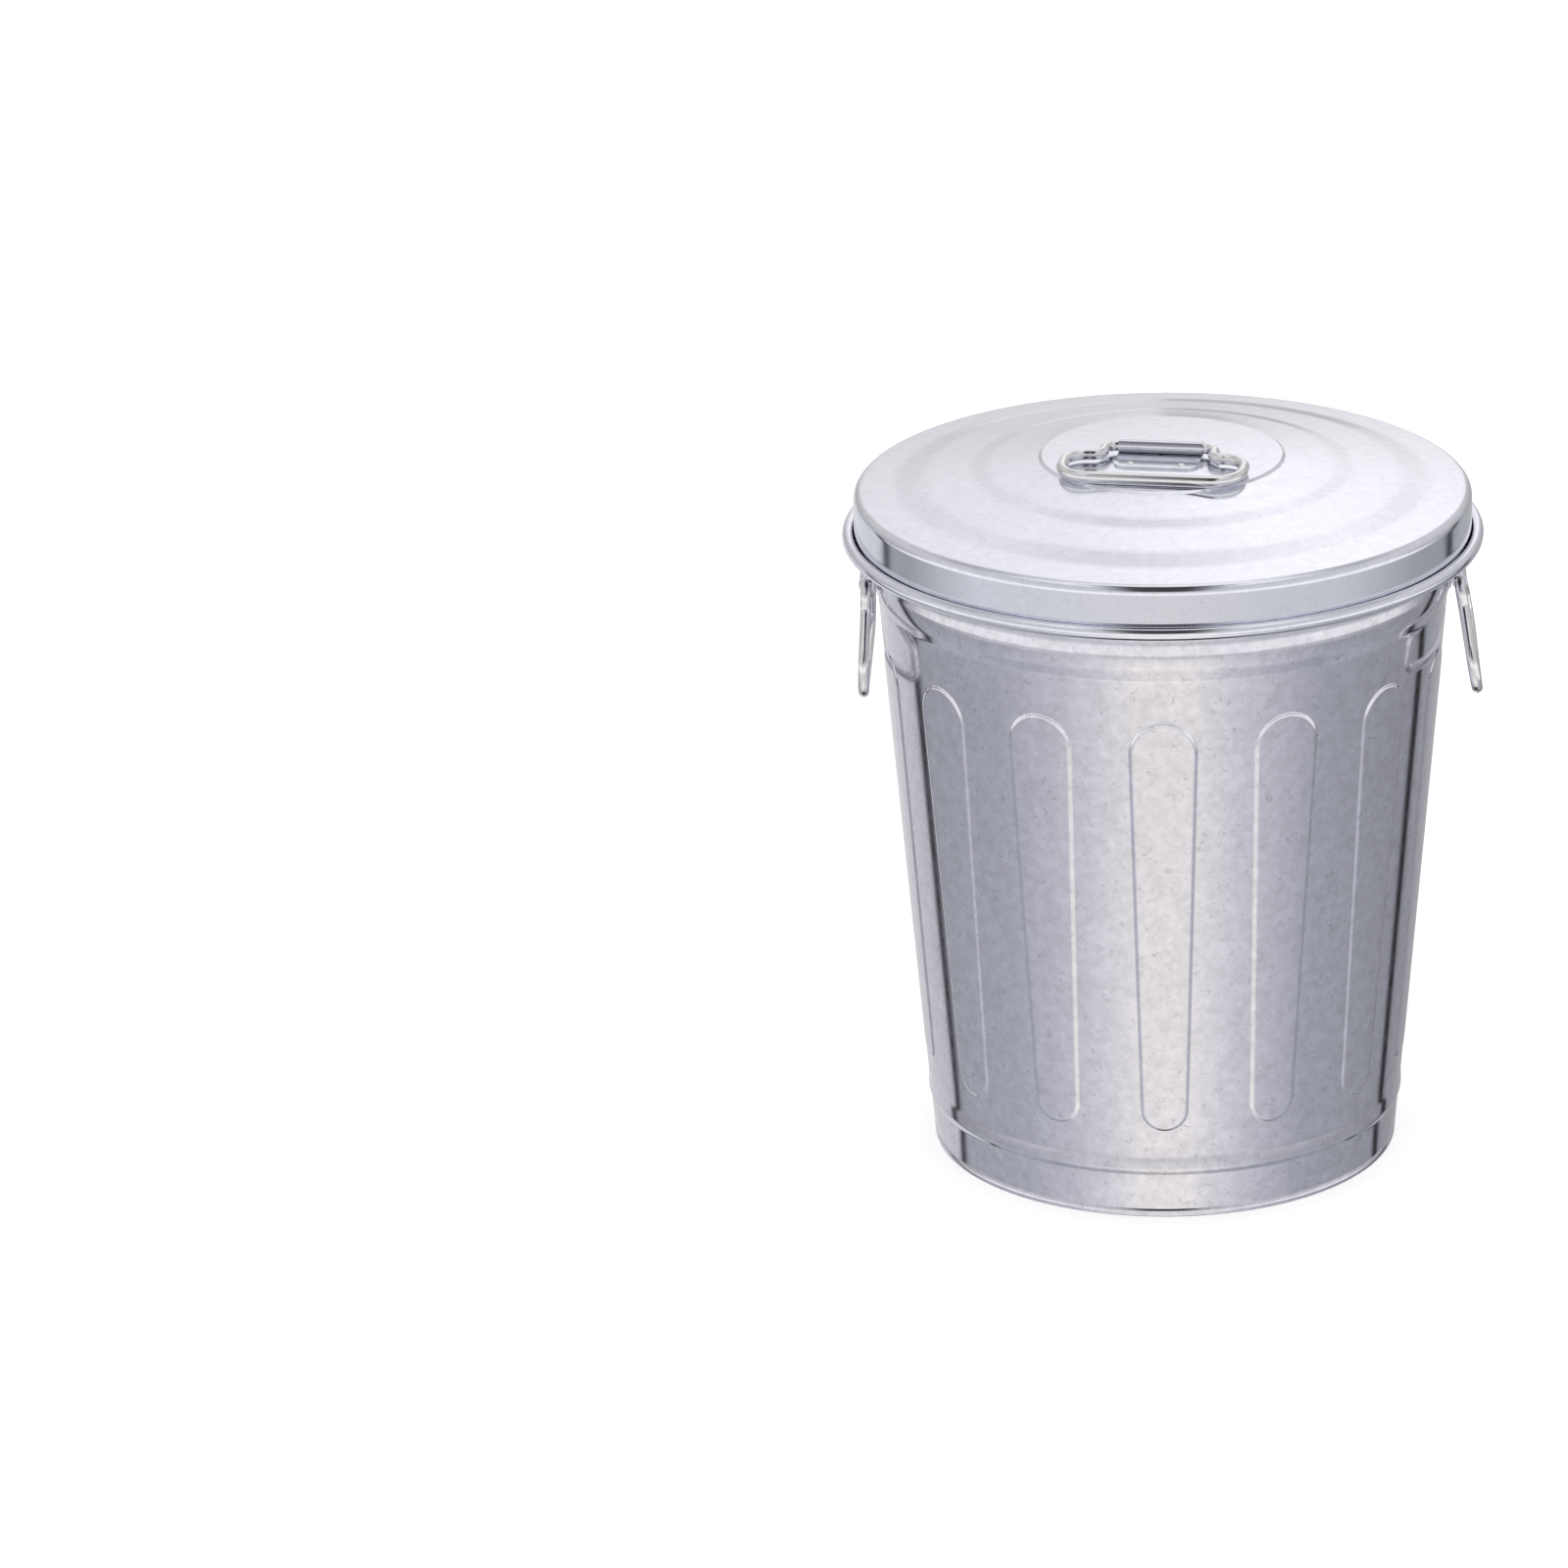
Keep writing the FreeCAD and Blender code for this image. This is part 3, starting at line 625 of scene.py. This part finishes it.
def studio_world():
    """White studio as metal sees it: a bright front, darker sides with a thin gap each, a pale back wall that
    fades upwards, and a dark strip overhead and underfoot. To everything else it is plain white."""
    world = bpy.data.worlds.new("studio")
    bpy.context.scene.world = world
    world.use_nodes = True
    nodes, links = world.node_tree.nodes, world.node_tree.links
    place = nodes.new("ShaderNodeTexCoord")
    split = nodes.new("ShaderNodeSeparateXYZ")
    links.new(place.outputs["Generated"], split.inputs["Vector"])
    side, depth, height = (split.outputs[axis] for axis in "XYZ")

    def work(operation, *values):
        node = nodes.new("ShaderNodeMath")
        node.operation = operation
        for socket, value in zip(node.inputs, values):
            if isinstance(value, (int, float)):
                socket.default_value = value
            else:
                links.new(value, socket)
        return node.outputs["Value"]

    def fade(value, low, high):
        node = nodes.new("ShaderNodeMapRange")
        node.interpolation_type = "SMOOTHSTEP"
        node.inputs["From Min"].default_value = low
        node.inputs["From Max"].default_value = high
        links.new(value, node.inputs["Value"])
        return node.outputs["Result"]

    def mix(factor, first, second, kind="MIX"):
        node = nodes.new("ShaderNodeMix")
        node.data_type = "RGBA"
        node.blend_type = kind
        for socket, value in (("Factor", factor), ("A", first), ("B", second)):
            if isinstance(value, (int, float, tuple)):
                node.inputs[socket].default_value = value
            else:
                links.new(value, node.inputs[socket])
        return node.outputs["Result"]

    def light(stops, position):
        node = nodes.new("ShaderNodeValToRGB")
        elements = node.color_ramp.elements
        while len(elements) < len(stops):
            elements.new(0.5)
        for element, (share, level, warmth) in zip(elements, stops):
            element.position = share
            element.color = (level * (1 + warmth), level, level * (1 - 2.2 * warmth), 1.0)
        links.new(position, node.inputs["Fac"])
        return node.outputs["Color"]

    front = work("MULTIPLY", depth, -1.0)
    turn = work("MULTIPLY_ADD", work("ARCTAN2", side, front), 0.5 / math.pi, 0.5)
    rise = work("MULTIPLY_ADD", height, 0.5, 0.5)
    across = work("MULTIPLY_ADD", side, 0.5, 0.5)

    ground = mix(1.0, light(GROUND, turn), light(GROUND_FALL, rise), "MULTIPLY")
    lower = mix(fade(height, -0.42, -0.35), ground, light(PANELS, turn))
    band = work("MULTIPLY", fade(height, -0.315, -0.235), fade(front, -0.6, -0.2))
    lower = mix(band, lower, FRONT_BAND)
    upper = mix(1.0, light(BACK_WALL, rise), light(BACK_SIDES, across), "MULTIPLY")
    upper = mix(fade(front, -0.3, 0.05), upper, light(FRONT_WALL, rise))
    seen = mix(fade(height, -0.08, 0.02), lower, upper)
    # the dark strip, which only the middle of the can catches
    middle = work("SUBTRACT", 1.0, fade(work("ABSOLUTE", side), 0.12, 0.36))
    overhead = work("MULTIPLY", fade(height, 0.36, 0.54), fade(front, -0.04, 0.08))
    underfoot = work("SUBTRACT", 1.0, fade(height, -0.97, -0.94))
    seen = mix(work("MULTIPLY", middle, work("ADD", overhead, underfoot)), seen, DARK_MIDDLE)

    rays = nodes.new("ShaderNodeLightPath")
    studio = nodes.new("ShaderNodeBackground")
    links.new(seen, studio.inputs["Color"])
    plain = nodes.new("ShaderNodeBackground")
    plain.inputs["Color"].default_value = (1.0, 1.0, 1.0, 1.0)
    shown = nodes.new("ShaderNodeMixShader")
    links.new(rays.outputs["Is Glossy Ray"], shown.inputs["Fac"])
    links.new(plain.outputs["Background"], shown.inputs[1])
    links.new(studio.outputs["Background"], shown.inputs[2])
    links.new(shown.outputs["Shader"], nodes["World Output"].inputs["Surface"])


SENSOR = 36.0                               # millimetres
PICTURE_WIDTH = 1600                        # pixels
FOCAL_LENGTH = 7800                         # in pixels of the picture
CAN_OFF_CENTRE = 387                        # pixels to the right of the picture's middle
CAMERA_PLACE = (0, -3.9592, 1.7029)
CAMERA_PITCH = math.radians(20.73)
CAMERA_ROLL = math.radians(-0.26)


def add_camera():
    """Long lens at the photograph's distance, tilted down at the can and turned a little to its left."""
    data = bpy.data.cameras.new("camera")
    data.sensor_width = SENSOR
    data.lens = FOCAL_LENGTH * SENSOR / PICTURE_WIDTH
    data.clip_end = 100.0
    camera = bpy.data.objects.new("camera", data)
    bpy.context.scene.collection.objects.link(camera)
    camera.matrix_world = (Matrix.Translation(CAMERA_PLACE)
                           @ Matrix.Rotation(math.pi / 2 - CAMERA_PITCH, 4, "X")
                           @ Matrix.Rotation(CAMERA_ROLL, 4, "Z")
                           @ Matrix.Rotation(math.atan(CAN_OFF_CENTRE / FOCAL_LENGTH), 4, "Y"))
    bpy.context.scene.camera = camera


studio_floor()
studio_world()
add_camera()
bpy.context.scene.view_settings.view_transform = "Standard"

bpy.context.view_layer.update()
